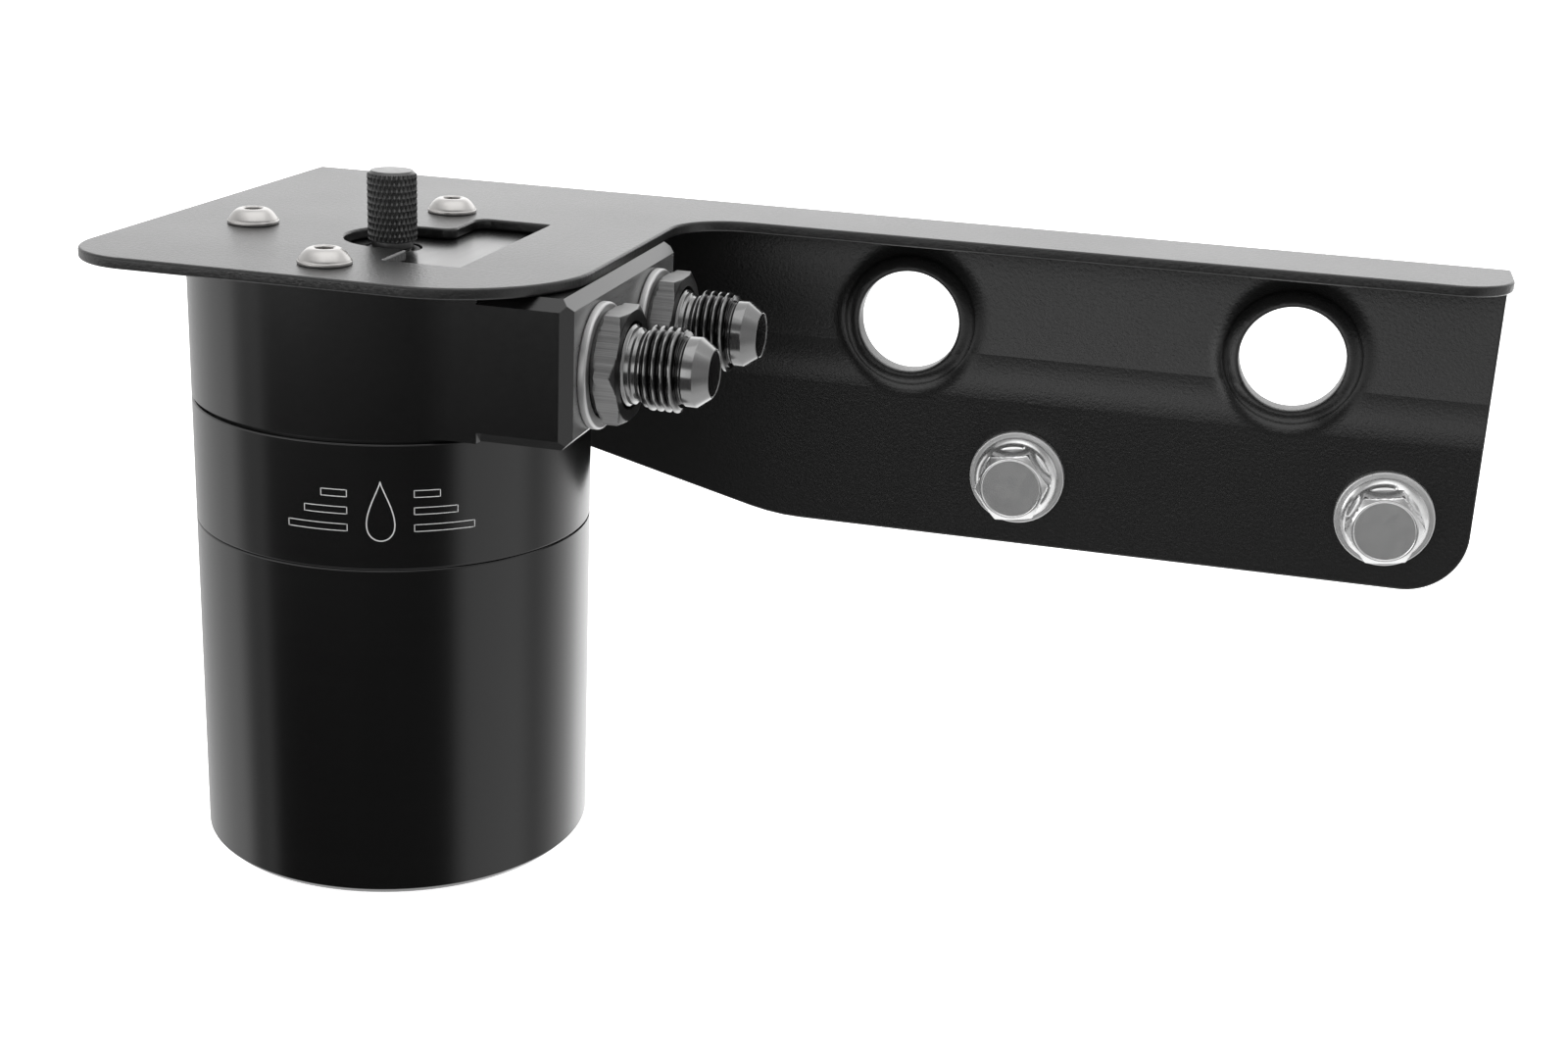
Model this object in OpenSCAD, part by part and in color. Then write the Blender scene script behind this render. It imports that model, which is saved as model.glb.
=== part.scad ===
// Oil catch can (air-oil separator) hung from a bent sheet-steel bracket.
// Frame: origin midway between the two mounting bolts, on the bracket's back face.
// +X runs along the bracket away from the can, +Y points into the wall, +Z is up.

/* [Can] */
// Outer diameter of the can
can_d = 71; // [68:0.5:74]
// Height of the screw-on cup, foot to joint
cup_h = 61.2; // [50:0.1:90]
// Height of the collar ring between cup and head
ring_h = 22.1; // [21.5:0.1:24]
// Height of the head, from the collar ring to the bracket
head_h = 26.1; // [25:0.1:28]
// Wall thickness of the cup
cup_wall = 3.95; // [3.9:0.05:4.2]
// Thickness of the cup's floor
cup_floor = 4; // [3:0.5:6]
// Chamfer round the cup's foot
foot_chamfer = 1.2; // [0.5:0.1:2]
// Height of the shadow groove under the head
groove_h = 0.7; // [0.4:0.1:1]

/* [Port block] */
// Distance from the can's axis to the port face
port_face_x = 43.7; // [42.5:0.1:46]
// Width of the port block
block_w = 58.2; // [56:0.1:62]
// Chamfer on the block's edges
block_chamfer = 1.9; // [1:0.1:2.5]
// Radius where the block's side flows into the round of the can
block_blend_r = 10; // [6:1:14]
// Distance between the two ports
port_pitch = 30.2; // [28:0.1:32]
// Height of the port axes above the head's underside
port_z = 13.2; // [12.5:0.1:13.5]

/* [Port fittings] */
// Width across the flats of the fitting's hexagon
hex_af = 18.5; // [17.5:0.1:19]
// Major diameter of the flare thread
flare_thread_d = 14.28; // [14.2:0.01:14.4]
// Diameter of the fitting's bore
fitting_bore_d = 7.54; // [6:0.01:8]
// Diameter of the fitting's shank in the port
shank_d = 16; // [15:0.5:16]
// Outer diameter of the crush washer
crush_d = 21.6; // [21:0.1:22]
// Thickness of the crush washer
crush_t = 1.5; // [1:0.1:1.8]
// Distance the loose crush washer hangs below the port axis
crush_drop = 0.6; // [0:0.1:0.6]

/* [Bracket] */
// Thickness of the bracket's sheet
sheet_t = 2; // [1.5:0.1:2.5]
// Distance from the can's axis to the plate's left edge
plate_left = 44.6; // [40:0.1:50]
// Distance from the can's axis to the plate's right edge
plate_right = 42; // [40:0.1:42.4]
// Distance from the can's axis to the plate's front edge
plate_front = 38; // [37:0.1:42]
// Distance from the can's axis to the flange's back face
flange_back = 65.8; // [60:0.1:80]
// Distance from the can's axis to the bracket's right end
bracket_end = 193.9; // [190:0.1:220]
// Depth of the strip, front edge to back face
strip_depth = 22.9; // [20:0.1:26]
// Height of the flange, bottom edge to the plate's top
flange_h = 64.5; // [64:0.1:70]
// Outer radius of the bend
bend_r = 3; // [2.6:0.1:4]
// Slope of the flange's rising lower edge, degrees
flange_slope = 14; // [8:1:15]
// Distance from the can's axis to where that edge starts to rise
slope_start_x = 56; // [50:1:60]

/* [Bracket holes] */
// Distance from the can's axis to the first mounting bolt
bolt_x = 106; // [104:0.1:108]
// Distance between the mounting bolts
bolt_pitch = 71.5; // [71:0.1:72]
// Height of the mounting bolts above the flange's bottom edge
bolt_z = 14.4; // [14:0.1:16]
// Distance from the can's axis to the first raised-lip hole
lip_hole_x = 82.3; // [81:0.1:84]
// Distance between the raised-lip holes
lip_hole_pitch = 74.4; // [73:0.1:75]
// Height of those holes above the flange's bottom edge
lip_hole_z = 44.2; // [43.5:0.1:44.4]
// Radius of those holes
lip_hole_r = 10; // [9:0.1:10.2]
// Radius of the rounded lip round each hole
lip_r = 3.2; // [2.5:0.1:3.4]
// Half width of the slot's narrow part, round the knob
slot_half_w = 10.3; // [9:0.1:11]
// Left and right sides of the window beside the knob
window_x = [7.1, 20.85];
// Front and back sides of that window
window_y = [-20, 22.9];

/* [Fasteners] */
// Radius of the circle of bracket screws
screw_circle_r = 27; // [26.8:0.1:27.2]
// Diameter of the bracket screws
screw_d = 5; // [4.5:0.5:5]
// Diameter of the screws' button heads
screw_head_d = 9.1; // [8.8:0.1:9.5]
// Height of the screws' button heads
screw_head_h = 2.7; // [2.4:0.1:3]
// Length of the bracket screws under the head
screw_l = 12; // [10:1:14]
// Diameter of the mounting bolts
bolt_d = 8; // [6:1:8]
// Width across the flats of the mounting bolts' hexagon
bolt_af = 12.9; // [12:0.1:13]
// Diameter of the mounting bolts' flange
bolt_flange_d = 16.8; // [16:0.1:17.9]
// Height of the mounting bolts' head
bolt_head_h = 8; // [6:0.5:9]
// Length of the mounting bolts under the head
bolt_l = 20; // [16:1:30]
// Diameter of the flat washers
washer_d = 19; // [18:0.1:19.4]
// Thickness of the flat washers
washer_t = 1.6; // [1.2:0.1:2]

/* [Dipstick] */
// Diameter of the knurled knob
knob_d = 8.7; // [8:0.1:9.5]
// Height of the knob's top above the bracket
knob_top = 11.75; // [10:0.05:14]
// Height of the knob's underside above the head
knob_gap = 1.3; // [1:0.1:1.6]
// Diameter of the knob's threaded shank
knob_shank_d = 7; // [6.4:0.1:7]
// Diameter of the level rod
rod_d = 3; // [2:0.5:4]
// Gap between the rod's tip and the cup's floor
rod_gap = 3; // [2:0.5:6]

/* [Separator] */
// Outer diameter of the tube that leads the inlet air down
tube_d = 16; // [14:0.5:16]
// Thickness of the baffle plates
baffle_t = 1.5; // [1:0.1:2]
// Number of holes in each baffle plate
baffle_holes = 10; // [6:1:12]
// Thickness of the circlip below the lower baffle
clip_t = 1.4; // [1.2:0.1:1.6]

/* [Hidden] */
$fn = 96;
eps = 0.01;
run_gap = 0.05;

can_r = can_d / 2;
ring_z = cup_h;
head_z = ring_z + ring_h;
plate_z = head_z + head_h;
top_z = plate_z + sheet_t;
can_place = [-(bolt_x + bolt_pitch / 2), -flange_back, -(top_z - flange_h + bolt_z)];

cup_bore_r = can_r - cup_wall;
spigot_r = cup_bore_r - run_gap;
spigot_l = 12;
spigot_wall = 4;
ring_bore_r = spigot_r - spigot_wall;
head_spigot_r = spigot_r - 1.5;
head_spigot_l = 10;
head_pocket_r = head_spigot_r - 4;
shoulder_z = head_z - head_spigot_l;
plenum_h = 14.7;

seal_groove_w = 2.1;
seal_r = 0.9;
cup_seal_r = cup_bore_r + cup_wall / 2 - 0.1;
cup_seal_depth = 2.05;
head_seal_z = head_z - 1.6;

block_half_w = block_w / 2;
port_axis_z = head_z + port_z;
port_depth = 20;
port_drill_r = 4.5;
drill_x = 18;

tube_r = tube_d / 2;
tube_bore_r = tube_r - 1;
tube_top_z = port_axis_z - port_drill_r - 1;
tube_bottom_z = ring_z - spigot_l - 3.2;
boss_r = tube_r + 3;
boss_h = 8;

clip_z = ring_z - spigot_l + 1.1;
lower_baffle_z = clip_z + clip_t;
upper_baffle_z = shoulder_z - baffle_t;
baffle_r = ring_bore_r - 0.1;
clip_groove_r = ring_bore_r + 1.5;

knob_r = knob_d / 2;
knob_z = plate_z + knob_gap;
knob_tip_z = top_z + knob_top;
knob_chamfer = 0.8;
knob_shank_r = knob_shank_d / 2;
knob_shank_l = 8;
neck_r = knob_shank_r + 0.15;
dip_seal_r = knob_shank_r + 0.85;
dip_seal_minor = 0.7;
dip_pocket_r = dip_seal_r + dip_seal_minor + 0.15;
dip_pocket_h = 1.6;

hex_x = crush_t + 0.8;
hex_l = 3.9;
neck_x = hex_x + hex_l;
thread_x = neck_x + 3;
nose_x = thread_x + 6.2;
cone_x = nose_x + 2.6;
tip_x = cone_x + 2.5;
nose_r = 5.9;
tip_r = 4.05;
shank_l = 12;

strip_y = flange_back - strip_depth;
flange_z = top_z - flange_h;
bolt_hole_r = bolt_d / 2 + 0.4;
screw_hole_r = screw_d / 2 + 0.25;
plate_corner_r = 13;
plate_front_corner_r = 25;
strip_fillet_r = 12;
strip_corner_r = 11;
flange_corner_r = 12;
slope_corner_r = 45;
slot_corner_r = 2.4;
screw_angles = [90, 180, 270];
bolt_xs = [bolt_x, bolt_x + bolt_pitch];
lip_hole_xs = [lip_hole_x, lip_hole_x + lip_hole_pitch];

// ---- helpers ----

// Material between a square corner at the origin and the arc that rounds it
module corner_round(r) {
    difference() {
        translate([-eps, -eps]) square(r + eps);
        translate([r, r]) circle(r);
    }
}

// Moves geometry drawn about the can's axis and foot into the part's frame
module at_can() {
    translate(can_place) children();
}

// Turns a shape drawn along +Z so that it lies along +X on a port's axis
module at_port(side) {
    translate([port_face_x, side * port_pitch / 2, port_axis_z]) rotate([0, 90, 0]) children();
}

// Turns a shape drawn along +Z so that it points out of the flange towards -Y
module on_flange(x, z) {
    translate([x, flange_back - sheet_t, z]) rotate([90, 0, 0]) children();
}

module tube(r_out, r_in, h) {
    difference() {
        cylinder(r = r_out, h = h);
        translate([0, 0, -1]) cylinder(r = r_in, h = h + 2);
    }
}

module torus(ring_r, minor_r) {
    rotate_extrude() translate([ring_r, 0]) circle(minor_r, $fn = 32);
}

// A hexagonal bar with its corners turned down at the given face
module hex_bar(af, h) {
    rotate(30) cylinder(d = af / cos(30), h = h, $fn = 6);
}

// ---- bracket ----

module plate_outline() {
    difference() {
        union() {
            translate([-plate_left, -plate_front])
                square([plate_left + plate_right, plate_front + flange_back - bend_r]);
            translate([plate_right - eps, strip_y])
                square([bracket_end - plate_right + eps, strip_depth - bend_r]);
            translate([plate_right, strip_y]) mirror([0, 1]) corner_round(strip_fillet_r);
        }
        translate([-plate_left, -plate_front]) corner_round(plate_corner_r);
        translate([plate_right, -plate_front]) mirror([1, 0]) corner_round(plate_front_corner_r);
        translate([bracket_end, strip_y]) mirror([1, 0]) corner_round(strip_corner_r);
        slot_outline();
        for (a = screw_angles)
            rotate(a) translate([screw_circle_r, 0]) circle(screw_hole_r);
    }
}

// Keyhole round the knob, with a square window beside it
module slot_outline() {
    translate([2, 0]) circle(slot_half_w);
    translate([2, -slot_half_w]) square([window_x[0] - 2 + eps, 2 * slot_half_w]);
    difference() {
        translate([window_x[0], window_y[0]])
            square([window_x[1] - window_x[0], window_y[1] - window_y[0]]);
        translate([window_x[0], window_y[1]]) mirror([0, 1]) corner_round(slot_corner_r);
    }
    translate([window_x[0], slot_half_w]) mirror([1, 0]) corner_round(slot_corner_r);
}

// Front view of the flange: x along the bracket, y up
module flange_outline() {
    rise = (slope_start_x + plate_left) * tan(flange_slope);
    difference() {
        polygon([
            [-plate_left, flange_z + rise],
            for (i = [6 : -1 : 0])
                [slope_start_x + slope_corner_r * (tan(flange_slope / 2) - sin(flange_slope * i / 6)),
                 flange_z + slope_corner_r * (1 - cos(flange_slope * i / 6))],
            [bracket_end, flange_z],
            [bracket_end, top_z - bend_r],
            [-plate_left, top_z - bend_r]
        ]);
        translate([bracket_end, flange_z]) mirror([1, 0]) corner_round(flange_corner_r);
        for (x = lip_hole_xs)
            translate([x, flange_z + lip_hole_z]) circle(lip_hole_r);
        for (x = bolt_xs)
            translate([x, flange_z + bolt_z]) circle(bolt_hole_r);
    }
}

module bend() {
    translate([-plate_left, flange_back - bend_r, top_z - bend_r])
        rotate([90, 0, 90]) intersection() {
            tube(bend_r, bend_r - sheet_t, bracket_end + plate_left);
            cube([bend_r + 1, bend_r + 1, bracket_end + plate_left]);
        }
}

// Raised rounded lip of a flange hole
module hole_lip() {
    rotate_extrude() translate([lip_hole_r, 0]) intersection() {
        circle(lip_r);
        translate([0, -0.5]) square([lip_r, lip_r + 0.5]);
    }
}

module mounting_bracket() {
    color([0.11, 0.11, 0.12]) at_can() {
        translate([0, 0, plate_z]) linear_extrude(sheet_t) plate_outline();
        translate([0, flange_back, 0]) rotate([90, 0, 0])
            linear_extrude(sheet_t) flange_outline();
        bend();
        for (x = lip_hole_xs)
            on_flange(x, flange_z + lip_hole_z) hole_lip();
    }
}

// ---- fasteners ----

module button_screw() {
    rim_h = 0.7;
    dome_h = screw_head_h - rim_h;
    difference() {
        union() {
            cylinder(d = screw_head_d, h = rim_h);
            translate([0, 0, rim_h])
                cylinder(r1 = screw_head_d / 2, r2 = screw_head_d / 2 - 0.9, h = dome_h / 2);
            translate([0, 0, rim_h + dome_h / 2])
                cylinder(r1 = screw_head_d / 2 - 0.9, r2 = screw_head_d / 4, h = dome_h / 2);
            translate([0, 0, -screw_l]) cylinder(d = screw_d, h = screw_l + eps);
        }
        translate([0, 0, screw_head_h - 1.6]) hex_bar(3, 2);
    }
}

module bracket_screws() {
    color("gainsboro") at_can()
        for (a = screw_angles)
            rotate(a) translate([screw_circle_r, 0, top_z]) button_screw();
}

module flange_bolt() {
    skirt_h = 1.6;
    cylinder(d = bolt_flange_d, h = skirt_h / 2);
    translate([0, 0, skirt_h / 2])
        cylinder(d1 = bolt_flange_d, d2 = bolt_af - 1, h = skirt_h);
    intersection() {
        hex_bar(bolt_af, bolt_head_h);
        cylinder(r1 = bolt_af / 2 + bolt_head_h - 0.4, r2 = bolt_af / 2 - 0.4, h = bolt_head_h);
    }
    // centring taper through the washer and the sheet, then the thread
    translate([0, 0, -washer_t - sheet_t])
        cylinder(r1 = bolt_d / 2 + 0.05, r2 = bolt_d / 2 + 0.3, h = washer_t + sheet_t + eps);
    translate([0, 0, -bolt_l]) cylinder(d = bolt_d, h = bolt_l - washer_t - sheet_t + eps);
}

module mounting_bolts() {
    color("silver") at_can()
        for (x = bolt_xs)
            on_flange(x, flange_z + bolt_z) translate([0, 0, washer_t]) flange_bolt();
}

module flat_washers() {
    color("silver") at_can()
        for (x = bolt_xs)
            on_flange(x, flange_z + bolt_z) tube(washer_d / 2, bolt_hole_r, washer_t);
}

// ---- head ----

// Plan of the head: the round of the can flowing into the port block
module head_outline() {
    corner_x = sqrt(pow(can_r + block_blend_r, 2) - pow(block_half_w + block_blend_r, 2));
    circle(can_r);
    translate([0, -block_half_w]) square([port_face_x, block_w]);
    for (side = [-1, 1])
        difference() {
            polygon([
                [0, 0],
                [corner_x * can_r / (can_r + block_blend_r),
                 side * (block_half_w + block_blend_r) * can_r / (can_r + block_blend_r)],
                [corner_x, side * (block_half_w + block_blend_r)],
                [corner_x, side * block_half_w],
                [corner_x, 0]
            ]);
            translate([corner_x, side * (block_half_w + block_blend_r)]) circle(block_blend_r);
        }
}

// Wedge that takes a 45 degree chamfer off a straight edge along +X
module edge_cutter(l) {
    rotate([45, 0, 0]) translate([0, -block_chamfer * sqrt(2) / 2, -block_chamfer * sqrt(2) / 2])
        cube([l, block_chamfer * sqrt(2), block_chamfer * sqrt(2)]);
}

module block_edge_cuts() {
    cut_l = 2 * block_w;
    for (z = [head_z + groove_h, plate_z]) {
        translate([port_face_x, -cut_l / 2, z]) rotate(90) edge_cutter(cut_l);
        for (side = [-1, 1])
            translate([can_r - 8, side * block_half_w, z]) edge_cutter(cut_l);
    }
    for (side = [-1, 1])
        translate([port_face_x, side * block_half_w, head_z - 1]) rotate([0, -90, 0])
            edge_cutter(head_h + 2);
}

module head_passages() {
    // ports
    for (side = [-1, 1])
        at_port(side) translate([0, 0, -port_depth]) cylinder(d = shank_d + 0.1, h = port_depth + 1);
    // inlet passage to the centre
    translate([port_face_x - port_depth + 1, -port_pitch / 2, port_axis_z])
        rotate([0, 0, atan2(port_pitch / 2, -(port_face_x - port_depth + 1))])
            rotate([0, 90, 0])
                cylinder(r = port_drill_r, h = norm([port_face_x - port_depth + 1, port_pitch / 2]));
    // outlet passage up from the plenum
    translate([drill_x, port_pitch / 2, head_z]) cylinder(r = port_drill_r, h = port_z);
    translate([drill_x, port_pitch / 2, port_axis_z]) rotate([0, 90, 0])
        cylinder(r = port_drill_r, h = 12);
    // centre bore for the drop tube, and the dipstick's thread and seal seat above it
    translate([0, 0, head_z - head_spigot_l - 1])
        cylinder(r = tube_r, h = port_axis_z + port_drill_r - head_z + head_spigot_l + 1);
    translate([0, 0, port_axis_z]) cylinder(r = knob_shank_r + run_gap, h = head_h);
    translate([0, 0, plate_z - dip_pocket_h]) cylinder(r = dip_pocket_r, h = dip_pocket_h + 1);
}

module head() {
    color([0.07, 0.07, 0.08]) at_can() difference() {
        union() {
            difference() {
                translate([0, 0, head_z + groove_h]) linear_extrude(head_h - groove_h) head_outline();
                block_edge_cuts();
            }
            translate([0, 0, head_z]) cylinder(r = can_r - 1.5, h = groove_h + eps);
            translate([0, 0, shoulder_z]) cylinder(r = head_spigot_r, h = head_spigot_l + eps);
        }
        // plenum with the tube's boss left standing
        translate([0, 0, shoulder_z - eps]) tube(head_pocket_r, boss_r, plenum_h);
        translate([0, 0, shoulder_z - 1]) cylinder(r = head_pocket_r, h = plenum_h - boss_h + 1);
        // seal groove
        translate([0, 0, head_seal_z - seal_groove_w / 2])
            tube(head_spigot_r + 1, head_spigot_r - 1.8, seal_groove_w);
        head_passages();
        for (a = screw_angles)
            rotate(a) translate([screw_circle_r, 0, plate_z - screw_l])
                cylinder(r = screw_d / 2 + run_gap, h = screw_l + 1);
    }
}

module head_o_ring() {
    color("dimgray") at_can() translate([0, 0, head_seal_z]) torus(head_spigot_r - seal_r, seal_r - 0.05);
}

// ---- ring and cup ----

module collar_ring() {
    edge = 0.3;
    color([0.07, 0.07, 0.08]) at_can() difference() {
        union() {
            translate([0, 0, ring_z]) cylinder(r1 = can_r - edge, r2 = can_r, h = edge);
            translate([0, 0, ring_z + edge]) cylinder(r = can_r, h = ring_h - 2 * edge);
            translate([0, 0, head_z - edge]) cylinder(r1 = can_r, r2 = can_r - edge, h = edge);
            translate([0, 0, ring_z - spigot_l]) cylinder(r = spigot_r, h = spigot_l + eps);
        }
        translate([0, 0, ring_z - spigot_l - 1]) cylinder(r = ring_bore_r, h = spigot_l + ring_h + 2);
        translate([0, 0, shoulder_z]) cylinder(r = head_spigot_r + run_gap, h = head_spigot_l + 1);
        translate([0, 0, clip_z]) cylinder(r = clip_groove_r, h = clip_t);
    }
}

module cup_o_ring() {
    color("dimgray") at_can()
        translate([0, 0, cup_h - cup_seal_depth / 2]) torus(cup_seal_r, seal_r);
}

module cup() {
    edge = 0.3;
    color([0.07, 0.07, 0.08]) at_can() difference() {
        union() {
            cylinder(r1 = can_r - foot_chamfer, r2 = can_r, h = foot_chamfer);
            translate([0, 0, foot_chamfer]) cylinder(r = can_r, h = cup_h - foot_chamfer - edge);
            translate([0, 0, cup_h - edge]) cylinder(r1 = can_r, r2 = can_r - edge, h = edge);
        }
        translate([0, 0, cup_floor]) cylinder(r = cup_bore_r, h = cup_h);
        translate([0, 0, cup_h - cup_seal_depth])
            tube(cup_seal_r + seal_groove_w / 2, cup_seal_r - seal_groove_w / 2, cup_seal_depth + 1);
    }
}

// ---- port fittings ----

module fitting() {
    difference() {
        union() {
            translate([0, 0, -shank_l]) cylinder(d = shank_d, h = shank_l + hex_x);
            translate([0, 0, crush_t]) cylinder(d1 = hex_af - 1, d2 = hex_af, h = hex_x - crush_t);
            translate([0, 0, hex_x]) intersection() {
                hex_bar(hex_af, hex_l);
                cylinder(d = hex_af + 1.9, h = hex_l);
            }
            translate([0, 0, neck_x - eps]) cylinder(r = 6.2, h = thread_x - neck_x + 2 * eps);
            translate([0, 0, thread_x]) cylinder(d = flare_thread_d, h = nose_x - thread_x);
            translate([0, 0, nose_x - eps]) cylinder(r = nose_r, h = cone_x - nose_x + 2 * eps);
            translate([0, 0, cone_x]) cylinder(r1 = nose_r, r2 = tip_r, h = tip_x - cone_x);
        }
        translate([0, 0, -shank_l - 1]) cylinder(d = fitting_bore_d, h = shank_l + tip_x + 2);
    }
}

module inlet_fitting() {
    color([0.15, 0.15, 0.16]) at_can() at_port(-1) fitting();
}

module outlet_fitting() {
    color([0.15, 0.15, 0.16]) at_can() at_port(1) fitting();
}

module crush_washer(side) {
    at_port(side) translate([crush_drop, 0, 0])
        tube(crush_d / 2, shank_d / 2 + crush_drop + 0.1, crush_t);
}

module inlet_crush_washer() {
    color("lightgray") at_can() crush_washer(-1);
}

module outlet_crush_washer() {
    color("lightgray") at_can() crush_washer(1);
}

// ---- dipstick ----

module dipstick_knob() {
    color([0.1, 0.1, 0.11]) at_can() difference() {
        union() {
            translate([0, 0, knob_z - knob_gap - knob_shank_l])
                cylinder(r = knob_shank_r, h = knob_shank_l + knob_gap);
            translate([0, 0, plate_z + 0.1]) cylinder(r = neck_r, h = knob_gap);
            translate([0, 0, knob_z]) cylinder(r1 = knob_r - 0.4, r2 = knob_r, h = 0.4);
            translate([0, 0, knob_z + 0.4])
                cylinder(r = knob_r, h = knob_tip_z - knob_z - 0.4 - knob_chamfer);
            translate([0, 0, knob_tip_z - knob_chamfer])
                cylinder(r1 = knob_r, r2 = knob_r - knob_chamfer, h = knob_chamfer);
        }
        translate([0, 0, knob_z - knob_gap - knob_shank_l - 1])
            cylinder(d = rod_d, h = knob_shank_l + knob_gap + 3);
    }
}

module dipstick_rod() {
    rod_z = cup_floor + rod_gap;
    color("silver") at_can() translate([0, 0, rod_z])
        cylinder(d = rod_d, h = knob_z + 2 - rod_z);
}

module dipstick_o_ring() {
    color("dimgray") at_can()
        translate([0, 0, plate_z - dip_pocket_h / 2]) torus(dip_seal_r, dip_seal_minor);
}

// ---- separator ----

module drop_tube() {
    color("silver") at_can() translate([0, 0, tube_bottom_z])
        tube(tube_r, tube_bore_r, tube_top_z - tube_bottom_z);
}

module baffle(turn) {
    difference() {
        tube(baffle_r, tube_r, baffle_t);
        for (i = [0 : baffle_holes - 1])
            rotate(turn + i * 360 / baffle_holes) translate([(baffle_r + tube_r) / 2, 0, -1])
                cylinder(r = 2.5, h = baffle_t + 2);
    }
}

module upper_baffle() {
    color("lightgray") at_can() translate([0, 0, upper_baffle_z]) baffle(0);
}

module lower_baffle() {
    color("lightgray") at_can() translate([0, 0, lower_baffle_z]) baffle(180 / baffle_holes);
}

module filter_mesh() {
    mesh_z = lower_baffle_z + baffle_t;
    color("darkgray") at_can() translate([0, 0, mesh_z])
        tube(baffle_r, tube_r, upper_baffle_z - mesh_z);
}

module baffle_circlip() {
    gap_angle = 30;
    color("dimgray") at_can() translate([0, 0, clip_z]) rotate(gap_angle / 2)
        rotate_extrude(angle = 360 - gap_angle)
            translate([clip_groove_r - 3, 0]) square([2.9, clip_t]);
}

mounting_bracket();
bracket_screws();
mounting_bolts();
flat_washers();
head();
head_o_ring();
collar_ring();
cup_o_ring();
cup();
inlet_fitting();
outlet_fitting();
inlet_crush_washer();
outlet_crush_washer();
dipstick_knob();
dipstick_rod();
dipstick_o_ring();
drop_tube();
upper_baffle();
filter_mesh();
lower_baffle();
baffle_circlip();
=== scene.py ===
"""An oil catch can on its bent sheet bracket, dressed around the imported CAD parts.

Everything is built in millimetres from the can's axis and foot, and moved into the part's
frame by AXIS and MM when a mesh is made.
"""

import math

import bmesh
import bpy
from mathutils import Matrix, Vector
from mathutils.geometry import tessellate_polygon


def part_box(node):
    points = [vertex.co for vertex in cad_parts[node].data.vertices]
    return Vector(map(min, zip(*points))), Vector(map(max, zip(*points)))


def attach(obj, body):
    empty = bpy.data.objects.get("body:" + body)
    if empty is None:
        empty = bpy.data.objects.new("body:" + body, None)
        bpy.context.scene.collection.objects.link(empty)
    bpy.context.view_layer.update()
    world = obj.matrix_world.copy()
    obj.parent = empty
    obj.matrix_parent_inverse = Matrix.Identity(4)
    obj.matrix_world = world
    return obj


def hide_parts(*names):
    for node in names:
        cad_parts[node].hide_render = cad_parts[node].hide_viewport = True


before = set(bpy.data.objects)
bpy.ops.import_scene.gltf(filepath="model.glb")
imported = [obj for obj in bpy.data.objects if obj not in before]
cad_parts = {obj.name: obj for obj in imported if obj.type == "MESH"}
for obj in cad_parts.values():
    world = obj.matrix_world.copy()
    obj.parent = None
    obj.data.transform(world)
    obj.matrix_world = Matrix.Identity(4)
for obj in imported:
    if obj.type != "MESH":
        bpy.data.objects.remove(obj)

bl_info = {
    "name": "Oil Catch Can",
    "version": (1, 0, 0),
    "blender": (4, 2, 0),
    "location": "3D View > Sidebar > Catch Can",
    "description": "Builds an oil catch can with its bracket, fittings and dipstick",
    "category": "Add Mesh",
}

MM = 0.001
TURN = 2 * math.pi


def node_box(name):
    """Lowest and highest corner of a CAD node, in metres."""
    low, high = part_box(name)
    return Vector(low), Vector(high)


CUP_LOW, CUP_HIGH = node_box("cup")
AXIS = Vector(((CUP_LOW.x + CUP_HIGH.x) / 2, (CUP_LOW.y + CUP_HIGH.y) / 2, CUP_LOW.z))


def span_mm(name, axis):
    """Low and high limit of a CAD node along one axis, in millimetres from the can's foot."""
    low, high = node_box(name)
    return ((low - AXIS) / MM)[axis], ((high - AXIS) / MM)[axis]


CAN_R = span_mm("cup", 0)[1]
RING_Z = span_mm("cup", 2)[1]
PLATE_LEFT, BRACKET_END = span_mm("mounting_bracket", 0)
PLATE_FRONT, FLANGE_BACK = span_mm("mounting_bracket", 1)
FLANGE_Z, TOP_Z = span_mm("mounting_bracket", 2)
KNOB_TIP = span_mm("dipstick_knob", 2)[1]
PLATE_Z = span_mm("head", 2)[1]
HEAD_Z = PLATE_Z - 26.1
PORT_FACE_X = span_mm("head", 0)[1]
PORT_Z = HEAD_Z + 13.2
PORT_PITCH = 30.2
BOLT_X = 106.0
BOLT_PITCH = 71.5
BOLT_Z = FLANGE_Z + 14.4
WASHER_T = 1.6
LIP_HOLES = ((82.3, FLANGE_Z + 44.2), (156.7, FLANGE_Z + 44.2))
LIP_BORE_R = 10.0
SCREW_CIRCLE_R = 27.0
SHEET_T = 2.0
TO_METRES = Matrix.Scale(MM, 4)
TO_PART = Matrix.Translation(AXIS) @ TO_METRES
# Warmth, roughness and stain of each steel
STAINLESS = (0.025, 0.26, 0.1)
ZINC = (0.0, 0.12, 0.12)
SATIN_ZINC = (0.0, 0.3, 0.2)


# ---- node trees from Python expressions ----


class Socket:
    """An output socket that can be used in a Python expression."""

    def __init__(self, graph, socket):
        self.graph = graph
        self.socket = socket

    def __add__(self, other):
        return self.graph.math("ADD", self, other)

    def __radd__(self, other):
        return self.graph.math("ADD", other, self)

    def __sub__(self, other):
        return self.graph.math("SUBTRACT", self, other)

    def __rsub__(self, other):
        return self.graph.math("SUBTRACT", other, self)

    def __mul__(self, other):
        return self.graph.math("MULTIPLY", self, other)

    def __rmul__(self, other):
        return self.graph.math("MULTIPLY", other, self)

    def __truediv__(self, other):
        return self.graph.math("DIVIDE", self, other)

    def also(self, name):
        """Another output of the same node."""
        return Socket(self.graph, self.socket.node.outputs[name])


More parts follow.
